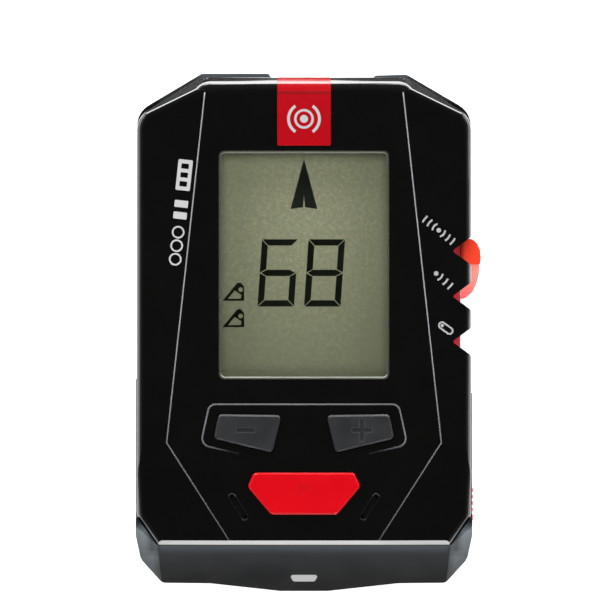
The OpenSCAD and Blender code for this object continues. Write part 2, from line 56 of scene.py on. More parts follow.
# Places that are shared by several pieces
DISPLAY_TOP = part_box("lcd_panel")[1].z / MM
ROOF_TOP = 22
MAIN_KEY_TOP = 22.48
CREASE = [(21.2, 51.35), (29.35, -23.5), (16, -44.4)]
BEVEL_CORNER = (21.45, 53)
CHAMFER = (8.5, 13.85)   # drop and run of the chamfers at the upper corners
BEND = 5   # radius of the curve between the bevel and a chamfer
TOP_SLOPE, BEVEL_SLOPE = 20, 42   # degrees, of the roof's upper end and of the bevel beyond it
SLANT = math.radians(3.9)   # of the display's digits
SMOOTH_BELOW = 24   # degrees: a gentler edge is shaded smooth
WAVE = 0.314   # metres, the width of one band of a wave texture whose scale is 1
SINK = 0.06   # how far a bead's foot lies below its surface


# ---------------------------------------------------------------- materials

class Nodes:
    """A small wrapper that adds nodes to one material and links them."""

    def __init__(self, name):
        self.material = bpy.data.materials.new(name)
        self.material.use_nodes = True
        self.tree = self.material.node_tree
        self.shader = self.tree.nodes["Principled BSDF"]
        self.output = self.tree.nodes["Material Output"]
        self.place = self.add("ShaderNodeTexCoord").outputs["Object"]

    def add(self, kind, **values):
        node = self.tree.nodes.new(kind)
        for key, value in values.items():
            setattr(node, key, value)
        return node

    def link(self, source, target):
        self.tree.links.new(source, target)

    def noise(self, size, detail=3, stretch=(1, 1, 1)):
        """Noise whose features are about size millimetres across, from 0 to 1."""
        mapping = self.add("ShaderNodeMapping")
        mapping.inputs["Scale"].default_value = stretch
        self.link(self.place, mapping.inputs["Vector"])
        node = self.add("ShaderNodeTexNoise")
        node.inputs["Scale"].default_value = 1 / (size * MM)
        node.inputs["Detail"].default_value = detail
        self.link(mapping.outputs["Vector"], node.inputs["Vector"])
        return node.outputs["Fac"]

    def spread(self, value, low, high, from_low=0.3, from_high=0.7):
        node = self.add("ShaderNodeMapRange")
        node.inputs["From Min"].default_value = from_low
        node.inputs["From Max"].default_value = from_high
        node.inputs["To Min"].default_value = low
        node.inputs["To Max"].default_value = high
        self.link(value, node.inputs["Value"])
        return node.outputs["Result"]

    def blend(self, value, first, second):
        """A colour that runs from first to second as value goes from 0 to 1."""
        node = self.add("ShaderNodeMix", data_type="RGBA")
        self.link(value, node.inputs["Factor"])
        for socket, colour in ((node.inputs[6], first), (node.inputs[7], second)):
            if isinstance(colour, tuple):
                socket.default_value = (*colour, 1)
            else:
                self.link(colour, socket)
        return node.outputs[2]

    def bump(self, value, depth, strength=0.5):
        """A bump of depth millimetres."""
        node = self.add("ShaderNodeBump")
        node.inputs["Strength"].default_value = strength
        node.inputs["Distance"].default_value = depth * MM
        self.link(value, node.inputs["Height"])
        self.link(node.outputs["Normal"], self.shader.inputs["Normal"])

    def times(self, first, second):
        node = self.add("ShaderNodeMath", operation="MULTIPLY")
        self.link(first, node.inputs[0])
        self.link(second, node.inputs[1])
        return node.outputs[0]

    def set(self, **values):
        for key, value in values.items():
            self.shader.inputs[key.replace("_", " ")].default_value = value

    def axis(self, letter):
        """One coordinate, or its size where the letter follows +-."""
        node = self.add("ShaderNodeSeparateXYZ")
        self.link(self.place, node.inputs["Vector"])
        value = node.outputs[letter[-1]]
        if letter.startswith("+-"):
            size = self.add("ShaderNodeMath", operation="ABSOLUTE")
            self.link(value, size.inputs[0])
            value = size.outputs[0]
        return value


def shade(colour, factor):
    """A lighter or darker version of a colour."""
    return tuple(min(1, c * factor) for c in colour)


def plastic(name, colour, rough, grain=0.25, depth=0.01, patch=6, change=0.12, coat=0.0, glow=0.0,
            shine=0.5, painted_light=()):
    """Moulded plastic: a fine grain in the surface and slow patches in colour and gloss.

    Each entry of the last argument is (factor, place, ...): painted light where the factor is above 1 and painted
    shade where it is below; the colour is scaled by up to that factor where every place is full.
    A place is (axis, start, end) in millimetres, on both sides of the middle where the axis is written with +-."""
    m = Nodes(name)
    slow = m.noise(patch, 4)
    fine = m.noise(grain, 2)
    tint = m.blend(m.spread(slow, 0, 1), shade(colour, 1 - change), shade(colour, 1 + change))
    for factor, *places in painted_light:
        share = None
        for letter, start, end in places:
            here = m.spread(m.axis(letter), 0, 1, start * MM, end * MM)
            share = m.times(share, here) if share else here
        scaled = m.add("ShaderNodeVectorMath", operation="SCALE")
        m.link(tint, scaled.inputs[0])
        m.link(m.spread(share, 1, factor, 0, 1), scaled.inputs["Scale"])
        tint = scaled.outputs[0]
    m.link(tint, m.shader.inputs["Base Color"])
    m.link(m.spread(slow, rough * 0.85, rough * 1.15), m.shader.inputs["Roughness"])
    m.bump(fine, depth)
    m.set(Coat_Weight=coat, Coat_Roughness=0.08, Specular_IOR_Level=shine)
    if glow:
        m.link(tint, m.shader.inputs["Emission Color"])
        m.set(Emission_Strength=glow)
    return m.material


def metal(name, colour, rough, stretch):
    """Drawn or plated metal with fine lines."""
    m = Nodes(name)
    lines = m.noise(0.3, 3, stretch)
    m.link(m.blend(m.spread(lines, 0, 1), shade(colour, 0.85), colour), m.shader.inputs["Base Color"])
    m.link(m.spread(lines, rough * 0.7, rough * 1.3), m.shader.inputs["Roughness"])
    m.bump(lines, 0.004)
    m.set(Metallic=1.0)
    return m.material


def winding(name, colour, turn, axis):
    """Enamelled wire, wound in turns of that width along the axis, with painted shade between the turns."""
    m = Nodes(name)
    wave = m.add("ShaderNodeTexWave", bands_direction=axis)
    wave.inputs["Scale"].default_value = WAVE / (turn * MM)
    wave.inputs["Distortion"].default_value = 0.4
    m.link(m.place, wave.inputs["Vector"])
    # Painted shade: the colour darkens between the turns.
    m.link(m.blend(wave.outputs["Fac"], shade(colour, 0.35), colour), m.shader.inputs["Base Color"])
    m.bump(wave.outputs["Fac"], 0.12, 1)
    m.set(Metallic=0.8, Roughness=0.32, Coat_Weight=0.6)
    return m.material


def display_glass():
    """The display panel: warm grey-green and mottled, with a painted pool of light above its middle, a painted
    lighter upper left and painted shade towards its four edges.
    """
    low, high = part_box("display_window")
    m = Nodes("lcd_polariser")
    fine = m.noise(0.35, 2)
    slow = m.noise(5, 3)
    tone = m.blend(m.spread(fine, 0, 1, 0.4, 0.6), (0.22, 0.213, 0.148), (0.3, 0.291, 0.203))
    tone = m.blend(m.spread(m.noise(1.0, 4), 0, 0.75, 0.4, 0.6), tone, (0.19, 0.184, 0.127))
    tone = m.blend(m.spread(slow, 0, 0.4), tone, (0.215, 0.209, 0.143))
    middle = (low + high) / 2
    reach_x, reach_y, lift = 26 * MM, 34 * MM, 11 * MM
    # Painted light: a pool of light centred above the display's middle; the colour darkens away from it.
    light_pool = m.add("ShaderNodeMapping")
    light_pool.inputs["Location"].default_value = (-middle.x / reach_x, -(middle.y + lift) / reach_y, 0)
    light_pool.inputs["Scale"].default_value = (1 / reach_x, 1 / reach_y, 0)
    m.link(m.place, light_pool.inputs["Vector"])
    pool_distance = m.add("ShaderNodeVectorMath", operation="LENGTH")
    m.link(light_pool.outputs["Vector"], pool_distance.inputs[0])
    tone = m.blend(m.spread(pool_distance.outputs["Value"], 0, 0.75, 0.1, 1.1), tone, (0.105, 0.101, 0.07))
    # Painted light: the upper left corner is lighter.
    upper = m.spread(m.axis("Y"), 0, 0.3, high.y - 14 * MM, high.y)
    left = m.spread(m.axis("X"), 0, 1, middle.x, low.x)
    tone = m.blend(m.times(upper, left), tone, (0.3, 0.291, 0.203))
    # Painted shade towards the four edges, where the opening's walls shade the panel.
    for letter, start, end, reach in (("X", low.x, high.x, 3.2), ("Y", low.y, high.y, 4)):
        for edge, side in ((start, 1), (end, -1)):
            fade = m.add("ShaderNodeMapRange", interpolation_type="SMOOTHSTEP")
            fade.inputs["From Min"].default_value = edge
            fade.inputs["From Max"].default_value = edge + side * reach * MM
            fade.inputs["To Min"].default_value = 0.3
            fade.inputs["To Max"].default_value = 0.0
            m.link(m.axis(letter), fade.inputs["Value"])
            tone = m.blend(fade.outputs["Result"], tone, (0.1, 0.105, 0.06))
    m.link(tone, m.shader.inputs["Base Color"])
    m.link(m.spread(fine, 0.45, 0.6), m.shader.inputs["Roughness"])
    m.bump(fine, 0.01, 0.2)
    return m.material


def clear_pane():
    """A hard-coated clear pane: see-through, with a thin gloss that grows at grazing angles."""
    m = Nodes("pane_clear")
    haze = m.noise(9, 3)
    see = m.add("ShaderNodeBsdfTransparent")
    see.inputs["Color"].default_value = (0.93, 0.95, 0.92, 1)
    gloss = m.add("ShaderNodeBsdfGlossy")
    m.link(m.spread(haze, 0.03, 0.07), gloss.inputs["Roughness"])
    facing = m.add("ShaderNodeLayerWeight").outputs["Facing"]
    steep = m.add("ShaderNodeMath", operation="POWER")
    steep.inputs[1].default_value = 5
    m.link(facing, steep.inputs[0])
    mix = m.add("ShaderNodeMixShader")
    m.link(m.spread(steep.outputs[0], 0.02, 0.8, 0, 1), mix.inputs["Fac"])
    m.link(see.outputs["BSDF"], mix.inputs[1])
    m.link(gloss.outputs["BSDF"], mix.inputs[2])
    m.link(mix.outputs["Shader"], m.output.inputs["Surface"])
    return m.material


def tinted_clear():
    """The slider's tail: clear plastic with a red tint that deepens towards the grip, and a painted glow that
    brightens it.
    """
    low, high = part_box("slider_tail")
    m = Nodes("slider_tail_clear")
    fade = m.add("ShaderNodeMapRange")
    fade.inputs["From Min"].default_value = low.y
    fade.inputs["From Max"].default_value = high.y
    m.link(m.axis("Y"), fade.inputs["Value"])
    tint = m.blend(fade.outputs["Result"], (0.8, 0.16, 0.14), (0.9, 0.42, 0.36))
    m.link(tint, m.shader.inputs["Base Color"])
    # Painted glow: the tail is no lamp, yet it emits a red tint so that it looks brighter.
    m.link(m.blend(fade.outputs["Result"], (0.8, 0.04, 0.05), (1.0, 0.16, 0.12)), m.shader.inputs["Emission Color"])
    m.link(m.spread(m.noise(3), 0.16, 0.24), m.shader.inputs["Roughness"])
    m.set(Alpha=0.56, Coat_Weight=0.6, Coat_Roughness=0.06, Emission_Strength=0.6)
    return m.material


def printed_line_and_highlight():
    """Pale paint in the creases, whose brightness is a painted highlight: brightest beside the display and fainter
    towards the lower end.
    """
    m = Nodes("crease_paint_and_highlight")
    # Painted highlight: the line darkens from beside the display down to the lower end.
    fade = m.add("ShaderNodeMapRange", interpolation_type="SMOOTHSTEP")
    fade.inputs["From Min"].default_value = -50 * MM
    fade.inputs["From Max"].default_value = 14 * MM
    m.link(m.axis("Y"), fade.inputs["Value"])
    grains = m.spread(m.noise(0.5), 0.85, 1)
    tone = m.blend(fade.outputs["Result"], (0.04, 0.043, 0.046), (0.22, 0.225, 0.23))
    m.link(m.blend(grains, (0.05, 0.05, 0.05), tone), m.shader.inputs["Base Color"])
    m.set(Roughness=0.4)
    return m.material


def board_mask():
    """Solder mask with copper tracks showing through as lighter lines."""
    m = Nodes("board_mask")
    brick = m.add("ShaderNodeTexBrick")
    brick.inputs["Scale"].default_value = 1 / (9 * MM)
    brick.inputs["Mortar Size"].default_value = 0.012
    brick.inputs["Color1"].default_value = (0.008, 0.09, 0.035, 1)
    brick.inputs["Color2"].default_value = (0.008, 0.075, 0.03, 1)
    brick.inputs["Mortar"].default_value = (0.03, 0.2, 0.08, 1)
    m.link(m.place, brick.inputs["Vector"])
    m.link(brick.outputs["Color"], m.shader.inputs["Base Color"])
    m.bump(m.noise(0.6), 0.01)
    m.set(Roughness=0.35, Coat_Weight=0.4)
    return m.material


def banded(name, first, second, width, axis):
    """Bands of two colours along one axis, as in a connector strip."""
    m = Nodes(name)
    wave = m.add("ShaderNodeTexWave", bands_direction=axis)
    wave.inputs["Scale"].default_value = WAVE / (width * MM)
    m.link(m.place, wave.inputs["Vector"])
    m.link(m.blend(wave.outputs["Fac"], first, second), m.shader.inputs["Base Color"])
    m.bump(m.noise(0.2), 0.01)
    m.set(Roughness=0.6)
    return m.material


def cell_sleeve():
    """A cell's printed sleeve: dark, with a copper-coloured band towards one end."""
    m = Nodes("cell_sleeve")
    edge = m.spread(m.axis("X"), 0, 1, 12 * MM, 12.1 * MM)
    scuffs = m.spread(m.noise(2.5, 5), 0, 0.6)
    dark = m.blend(scuffs, (0.02, 0.026, 0.05), (0.035, 0.04, 0.06))
    m.link(m.blend(edge, dark, (0.5, 0.2, 0.06)), m.shader.inputs["Base Color"])
    m.link(m.spread(m.noise(1.2), 0.22, 0.34), m.shader.inputs["Roughness"])
    m.set(Metallic=0.3, Coat_Weight=0.5)
    return m.material


def cells_pattern(name, dark, light, size, rough):
    """Foam or woven mesh: small cells with darker gaps between them."""
    m = Nodes(name)
    cells = m.add("ShaderNodeTexVoronoi")
    cells.inputs["Scale"].default_value = 1 / (size * MM)
    m.link(m.place, cells.inputs["Vector"])
    m.link(m.blend(cells.outputs["Distance"], dark, light), m.shader.inputs["Base Color"])
    m.bump(cells.outputs["Distance"], size / 3, 0.8)
    m.set(Roughness=rough)
    return m.material


BLACK_GLOSS = plastic("shell_gloss_black", (0.0022, 0.0021, 0.002), 0.09, grain=2.5, depth=0.0006, coat=0.5)
# Painted highlights: the slot lips are lighter at the two ends of each slot.
LIP_BLACK_PAINTED_GLINTS = plastic("slot_lip_painted_glints", (0.003, 0.003, 0.003), 0.3, depth=0.001, shine=0.2,
                    painted_light=((9, ("Y", -35.2, -34.8)), (6, ("Y", -39.4, -39.8))))
# Painted light and shade on the grey shell: lighter towards the roof, darker down the slope of the lower end from its
# upper edge, lighter rims at the upper end, and lighter lower corners with darker patches beside them.
DARK_GREY_PAINTED_LIGHT = plastic("shell_spark_grey_painted_light", (0.0088, 0.0103, 0.0115), 0.55, grain=0.22, depth=0.03, shine=0.05,
                    painted_light=((2.2, ("Z", 9, 19)), (0.62, ("Y", -45.9, -47.4)), (0.4, ("Y", -46.5, -53)),
                           (1.7, ("Y", -47.6, -46)), (3, ("Y", 54.2, 55.2)),
                           (9, ("+-X", 30.8, 32.5), ("Y", -40.5, -42.5)),
                           (0.3, ("+-X", 30.8, 32.5), ("Y", -48.2, -46.2)),
                           (0.3, ("+-X", 34.2, 32.6), ("+-X", 30.6, 31), ("Y", -48, -46.4))))
KEY_GREY = plastic("key_satin_grey", (0.0128, 0.0134, 0.0147), 0.52, grain=0.3, depth=0.01, change=0.2)
KEY_MARK = plastic("key_mark_grey", (0.03, 0.031, 0.034), 0.45)
KEY_RED = plastic("key_satin_red", (0.42, 0.0006, 0.0042), 0.36, grain=0.3, depth=0.006, change=0.05,
                  shine=0.1, coat=0.35)
KEY_RED_MARK = plastic("key_mark_red", (0.34, 0.0008, 0.0034), 0.5, shine=0.1)
BADGE_RED = plastic("badge_gloss_red", (0.28, 0.0022, 0.0055), 0.1, depth=0.003, coat=0.3, change=0.05)
# Painted glow: the track is no lamp, yet it glows so that it looks lit down in the notches.
TRACK_RED_PAINTED_GLOW = plastic("track_satin_red_painted_glow", (0.5, 0.022, 0.036), 0.4, glow=0.55)
# Painted shade: the grip darkens towards its inner side, in the notch.
GRIP_RED_PAINTED_SHADE = plastic("grip_gloss_red_painted_shade", (0.76, 0.046, 0.018), 0.2, depth=0.004, coat=0.5, change=0.05,
                   painted_light=((0.45, ("X", 34.5, 33.7)),))
CARRIAGE_RED = plastic("carriage_red", (0.5, 0.02, 0.02), 0.45)
LATCH_RED = plastic("latch_gloss_red", (0.6, 0.006, 0.012), 0.3, coat=0.3)
WHITE_INK = plastic("ink_white", (0.34, 0.34, 0.34), 0.5, grain=0.2, depth=0.004, change=0.08)
LABEL_INK = plastic("ink_label", (0.28, 0.28, 0.28), 0.5, grain=0.2, depth=0.004, change=0.1)
# Grey ink with a painted highlight falloff: the line darkens towards its two lower ends.
LINE_INK_AND_HIGHLIGHT = plastic("ink_line_grey_and_highlight", (0.1, 0.103, 0.106), 0.5, grain=0.3, depth=0.003, shine=0.1,
                   painted_light=((0.06, ("Y", -23.6, -25.4)),))
CREASE_INK_AND_HIGHLIGHT = printed_line_and_highlight()
# Painted highlight: the pane's rim line is faint on the sides and brightest along the lower edge, then the upper.
RIM_PAINTED_HIGHLIGHT = plastic("pane_rim_painted_highlight", (0.06, 0.062, 0.056), 0.25, grain=0.3, depth=0.002,
                    painted_light=((4.2, ("Y", -8.6, -9.3)), (2.4, ("Y", 37.6, 38.4))))
# Painted shade: a dark red strip for the shade in the groove across the badge.
GROOVE_PAINTED_SHADE_RED = plastic("badge_groove_painted_shade", (0.07, 0.0015, 0.002), 0.5, shine=0.2)
SEGMENT_INK = plastic("segment_dark", (0.002, 0.0022, 0.001), 0.5, grain=0.35, depth=0.002, change=0.3)
ARROW_INK = plastic("segment_arrow", (0.006, 0.006, 0.0045), 0.5, grain=0.35, depth=0.002, change=0.3)
FLOOR_WHITE = plastic("floor_pale", (0.86, 0.86, 0.86), 0.9, grain=4, depth=0.01, patch=80, change=0.01, glow=0.6)

SLOT_MATERIALS = {
    "shell_black": BLACK_GLOSS,
    "shell_grey": DARK_GREY_PAINTED_LIGHT,
    "seal_rubber": plastic("seal_rubber", (0.03, 0.03, 0.033), 0.75, depth=0.02),
    "steel": metal("steel_plated", (0.62, 0.62, 0.64), 0.3, (1, 1, 6)),
    "nickel": metal("nickel_plate", (0.74, 0.72, 0.66), 0.2, (1, 5, 1)),
    "window_clear": clear_pane(),
    "lcd": display_glass(),
    "light_guide": plastic("light_guide", (0.8, 0.8, 0.78), 0.25, coat=0.4, change=0.04),
    "white_plastic": plastic("frame_white", (0.66, 0.66, 0.64), 0.55, change=0.06),
    "elastomer": banded("zebra_strip", (0.02, 0.02, 0.025), (0.4, 0.4, 0.42), 0.5, "X"),
    "badge_red": BADGE_RED,
    "track_red": TRACK_RED_PAINTED_GLOW,
    "mesh_black": cells_pattern("sound_mesh", (0.001, 0.001, 0.001), (0.012, 0.012, 0.012), 0.18, 0.8),
    "slider_frame": CARRIAGE_RED,
    "slider_red": GRIP_RED_PAINTED_SHADE,
    "slider_clear": tinted_clear(),
    "key_grey": KEY_GREY,
    "key_red": KEY_RED,
    "silicone": plastic("silicone_grey", (0.2, 0.2, 0.2), 0.6, depth=0.006),
    "board_green": board_mask(),
    "chip_black": plastic("chip_epoxy", (0.012, 0.012, 0.013), 0.5, depth=0.012),
    "can_metal": metal("can_tinned", (0.7, 0.7, 0.68), 0.35, (4, 1, 1)),
    "chip_ceramic": plastic("chip_ceramic", (0.32, 0.22, 0.12), 0.4, patch=1.2, change=0.3),
    "ferrite": plastic("ferrite_sintered", (0.03, 0.03, 0.034), 0.42, grain=0.15, depth=0.02),
    "cell_wrap": cell_sleeve(),
    "foam": cells_pattern("foam_black", (0.006, 0.006, 0.006), (0.05, 0.05, 0.052), 0.35, 0.9),
    "latch_red": LATCH_RED,
}
WINDINGS = {
    "antenna_y_coil": winding("winding_y", (0.62, 0.24, 0.09), 0.5, "Y"),
    "antenna_x_coil": winding("winding_x", (0.62, 0.24, 0.09), 0.5, "X"),
    "antenna_z_coil": winding("winding_z", (0.62, 0.24, 0.09), 0.5, "Z"),
}


# ---------------------------------------------------------------- shapes

def place(name, mesh, material, body, replaces=()):
    """Adds a mesh to the scene as a piece that rides on a body."""
    piece = bpy.data.objects.new(name, mesh)
    bpy.context.scene.collection.objects.link(piece)
    mesh.materials.clear()
    mesh.materials.append(material)
    for face in mesh.polygons:
        face.use_smooth = True
    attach(piece, body)
    if replaces:
        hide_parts(*replaces)
    return piece


def trim(bm, point, normal):
    """Cuts away what lies beyond a plane and closes the cut. The point is in millimetres."""
    geom = list(bm.verts) + list(bm.edges) + list(bm.faces)
    bmesh.ops.bisect_plane(bm, geom=geom, dist=1e-7, plane_co=Vector(point) * MM, plane_no=normal, clear_outer=True)
    edges = [edge for edge in bm.edges if edge.is_boundary]
    if edges:
        bmesh.ops.holes_fill(bm, edges=edges, sides=0)


def round_edge(bm, first, second, radius, steps=4):
    """Rounds the edge where two planes meet; each plane is (point in millimetres, outward normal)."""
    a, b = Vector(first[1]).normalized(), Vector(second[1]).normalized()
    cosine = a.dot(b)
    across = (b - a * cosine).normalized()
    turn = math.acos(cosine)
    a_d, b_d = a.dot(Vector(first[0])) - radius, b.dot(Vector(second[0])) - radius
    centre = a * a_d + across * (b_d - a_d * cosine) / math.sin(turn)
    for step in range(1, steps + 1):
        angle = turn * step / (steps + 1)
        normal = a * math.cos(angle) + across * math.sin(angle)
        trim(bm, centre + normal * radius, normal)


def round_outline(bm, points, second_plane, radius, steps=4):
    """Rounds the edge between each upright side of a convex outline and the plane that meets it there.

    second_plane(middle, outward) gives (point, normal) of that plane, or None where nothing is rounded."""
    for i, point in enumerate(points):
        ahead = points[(i + 1) % len(points)]
        along = Vector((ahead[0] - point[0], ahead[1] - point[1], 0))
        if along.length < 0.02:
            continue
        side = Vector((along.y, -along.x, 0)).normalized()
        middle = Vector(((point[0] + ahead[0]) / 2, (point[1] + ahead[1]) / 2, 0))
        reach = side.dot(middle)
        if any(side.x * x + side.y * y > reach + 0.3 for x, y in points):
            continue
        other = second_plane(middle, side)
        if other:
            round_edge(bm, (middle, side), other, radius, steps)


def refined(node, name, width_of, segments=3, shape=None):
    """The shape of a CAD node with its flat faces joined and its edges rounded.

    width_of(middle, normals) gives an edge's rounding in millimetres, or 0 for none."""
    mesh = bpy.data.meshes.new(name)
    bm = bmesh.new()
    bm.from_mesh(NODES[node].data)
    bmesh.ops.remove_doubles(bm, verts=bm.verts, dist=2e-6)
    if shape:
        shape(bm)
        bmesh.ops.remove_doubles(bm, verts=bm.verts, dist=2e-6)
    bmesh.ops.dissolve_limit(bm, angle_limit=math.radians(0.3), verts=bm.verts, edges=bm.edges)
    bmesh.ops.triangulate(bm, faces=[face for face in bm.faces if len(face.verts) > 16])
    bm.normal_update()
    weight = bm.edges.layers.float.new("bevel_weight_edge")
    widths = {}
    for edge in bm.edges:
        if len(edge.link_faces) != 2:
            continue
        normals = [face.normal for face in edge.link_faces]
        turn = math.degrees(edge.calc_face_angle(0))
        middle = (edge.verts[0].co + edge.verts[1].co) / 2 / MM
        both_up = min(normals[0].z, normals[1].z) > 0.6
        if turn > SMOOTH_BELOW:
            widths[edge] = width_of(middle, normals)
        edge.smooth = turn <= SMOOTH_BELOW and not (both_up and turn > 1)
    widest = max(list(widths.values()) + [0.01])
    for edge, width in widths.items():
        edge[weight] = width / widest
        if width:
            edge.smooth = True
    bm.to_mesh(mesh)
    bm.free()
    slot = SLOT_OF[node]
    piece = place(name, mesh, SLOT_MATERIALS[slot], BODY_OF[node], [node])
    rounding = piece.modifiers.new("rounding", "BEVEL")
    rounding.width = widest * MM
    rounding.limit_method = "WEIGHT"
    rounding.segments = segments
    rounding.use_clamp_overlap = True
    rounding.loop_slide = False
    levelled = piece.modifiers.new("levelled", "WEIGHTED_NORMAL")
    levelled.keep_sharp = True
    return piece


def corner_points(before, corner, after, radius, steps=6):
    """The arc that rounds one corner of an outline."""
    a = (Vector(before) - Vector(corner)).normalized()
    b = (Vector(after) - Vector(corner)).normalized()
    half = a.angle(b) / 2
    centre = Vector(corner) + (a + b).normalized() * radius / math.sin(half)
    start = Vector(corner) + a * radius / math.tan(half) - centre
    sweep = (math.pi - 2 * half) * (-1 if a.cross(b) > 0 else 1)
    points = []
    for i in range(steps + 1):
        angle = sweep * i / steps
        turned = (start.x * math.cos(angle) - start.y * math.sin(angle),
                  start.x * math.sin(angle) + start.y * math.cos(angle))
        points.append((centre.x + turned[0], centre.y + turned[1]))
    return points


def outline(corners, steps=6):
    """A closed outline from (x, y, radius) corners."""
    points = []
    for i, (x, y, radius) in enumerate(corners):
        before, after = corners[i - 1][:2], corners[(i + 1) % len(corners)][:2]
        points += corner_points(before, (x, y), after, radius, steps) if radius else [(x, y)]
    return points


def circle(x, y, radius, steps=40):
    turn = 2 * math.pi / steps
    return [(x + radius * math.cos(turn * i), y + radius * math.sin(turn * i)) for i in range(steps)]


def arc_band(x, y, radius, width, start, end, steps=20):
    """A band along part of a circle, from start to end in degrees."""
    angles = [math.radians(start + (end - start) * i / steps) for i in range(steps + 1)]
    outer = [(x + (radius + width / 2) * math.cos(a), y + (radius + width / 2) * math.sin(a)) for a in angles]
    inner = [(x + (radius - width / 2) * math.cos(a), y + (radius - width / 2) * math.sin(a)) for a in angles]
    return outer + inner[::-1]


def moved(loop, x, y, turn=0.0):
    """A loop turned by that many degrees and moved to x, y."""
    c, s = math.cos(math.radians(turn)), math.sin(math.radians(turn))
    return [(x + px * c - py * s, y + px * s + py * c) for px, py in loop]


def height_finder(node):
    """A function that gives a CAD node's top at x, y, in millimetres."""
    bm = bmesh.new()
    bm.from_mesh(NODES[node].data)
    tree = BVHTree.FromBMesh(bm)
    bm.free()

    def height(x, y):
        hit = tree.ray_cast(Vector((x * MM, y * MM, 1)), Vector((0, 0, -1)))[0]
        return hit.z / MM if hit else ROOF_TOP
    return height


def inlay(name, loops, surface, proud, sunk, material, body):
    """Flat marks on a surface: closed plates that stand a little proud of it. Inner loops are holes."""
    bm = bmesh.new()
    edges = []
    for loop in loops:
        verts = [bm.verts.new((x * MM, y * MM, 0)) for x, y in loop]
        edges += [bm.edges.new((verts[i - 1], verts[i])) for i in range(len(verts))]
    bmesh.ops.triangle_fill(bm, use_beauty=True, use_dissolve=False, edges=edges)
    for face in bm.faces:
        if face.normal.z < 0:
            face.normal_flip()
    lower = list(bm.verts)
    grown = bmesh.ops.extrude_face_region(bm, geom=list(bm.faces))
    upper = [v for v in grown["geom"] if isinstance(v, bmesh.types.BMVert)]
    for verts, lift in ((lower, -sunk), (upper, proud)):
        for v in verts:
            v.co.z = (surface(v.co.x / MM, v.co.y / MM) + lift) * MM
    bmesh.ops.recalc_face_normals(bm, faces=bm.faces)
    mesh = bpy.data.meshes.new(name)
    bm.to_mesh(mesh)
    bm.free()
    piece = place(name, mesh, material, body)
    for face in mesh.polygons:
        face.use_smooth = False
    return piece


def bead(name, path, width, rise, surface, material, body, closed=False):
    """A fine raised line with a rounded top that follows a path over a surface."""
    profile = [(-0.5, -SINK), (-0.5, 0.0), (-0.32, rise * 0.75), (0.0, rise),
               (0.32, rise * 0.75), (0.5, 0.0), (0.5, -SINK)]
    bm = bmesh.new()
    rings = []
    last = len(path) - 1
    for i, point in enumerate(path):
        after = path[(i + 1) % len(path)] if closed else path[min(i + 1, last)]
        before = path[i - 1] if closed else path[max(i - 1, 0)]
        ahead = Vector(after) - Vector(before)
        side = Vector((ahead.y, -ahead.x)).normalized() * width
        x, y = point
        z = surface(x, y)
        rings.append([bm.verts.new(((x + side.x * t) * MM, (y + side.y * t) * MM, (z + lift) * MM))
                      for t, lift in profile])
    count = len(profile)
    for first, second in zip(rings, rings[1:] + rings[:1] if closed else rings[1:]):
        for i in range(count):
            bm.faces.new((first[i], first[(i + 1) % count], second[(i + 1) % count], second[i]))
    if not closed:
        bm.faces.new(rings[0])
        bm.faces.new(rings[-1][::-1])
    bmesh.ops.recalc_face_normals(bm, faces=bm.faces)
    mesh = bpy.data.meshes.new(name)
    bm.to_mesh(mesh)
    bm.free()
    return place(name, mesh, material, body)


def stepped(points, step=1.5):
    """The same path with points no further apart than step."""
    path = [points[0]]
    for a, b in zip(points, points[1:]):
        count = max(1, math.ceil(math.dist(a, b) / step))
        path += [(a[0] + (b[0] - a[0]) * i / count, a[1] + (b[1] - a[1]) * i / count) for i in range(1, count + 1)]
    return path


# ---------------------------------------------------------------- shells, keys and moving parts

def mirrored(corners):
    """A right-hand outline, lower end first, closed by its own mirror image."""
    return outline(corners + [(-x, y, r) for x, y, r in reversed(corners)])


FRONT_OUTLINE = mirrored([(31.4, -45.3, 0.8), (35.75, -39.2, 3), (35.75, 46.1, 5), (21.9, 54.6, 5)])
REAR_OUTLINE = mirrored([(5.1, -55.5, 1.5), (20.2, -53.8, 2), (30.4, -53.7, 1.5), (35, -48.6, 3), (36, -43.5, 2),
                         (36, 47.1, 5), (22, 55.4, 1.5)])


def sloping(point, falls, slope):
    """The plane through a point that slopes down in the direction it falls: (point, normal)."""
    s, c = math.sin(math.radians(slope)), math.cos(math.radians(slope))
    direction = Vector(falls).normalized()
    return point, (direction.x * s, direction.y * s, c)


def side_facet(flip, upper=True):
    """One of the long side facets, or one of the lower corner facets."""
    first, last = CREASE[:2] if upper else CREASE[1:]
    falls = (flip * (first[1] - last[1]), last[0] - first[0])
    return sloping((flip * first[0], first[1], ROOF_TOP), falls, 6 if upper else 7)


def corner_bevel(flip):
    """The narrow bevel along the lower edge, where a lower corner facet meets it."""
    x, y = CREASE[2]
    normal = Vector(side_facet(flip, upper=False)[1])
    up = Vector((normal.x, 0, normal.z)).normalized()
    tilt = math.radians(BEVEL_SLOPE)
    return (flip * x, y, ROOF_TOP), up * math.cos(tilt) + Vector((0, -math.sin(tilt), 0))


def front_facet(middle, side):
    """The sloping facet of the roof that meets an upright side there."""
    if abs(side.x) < 0.75:
        return None
    return side_facet(1 if side.x > 0 else -1, middle.y > -26.5)


def back_face(_middle, _side):
    """The flat back, for every upright side."""
    return (0, 0, 0), (0, 0, -1)


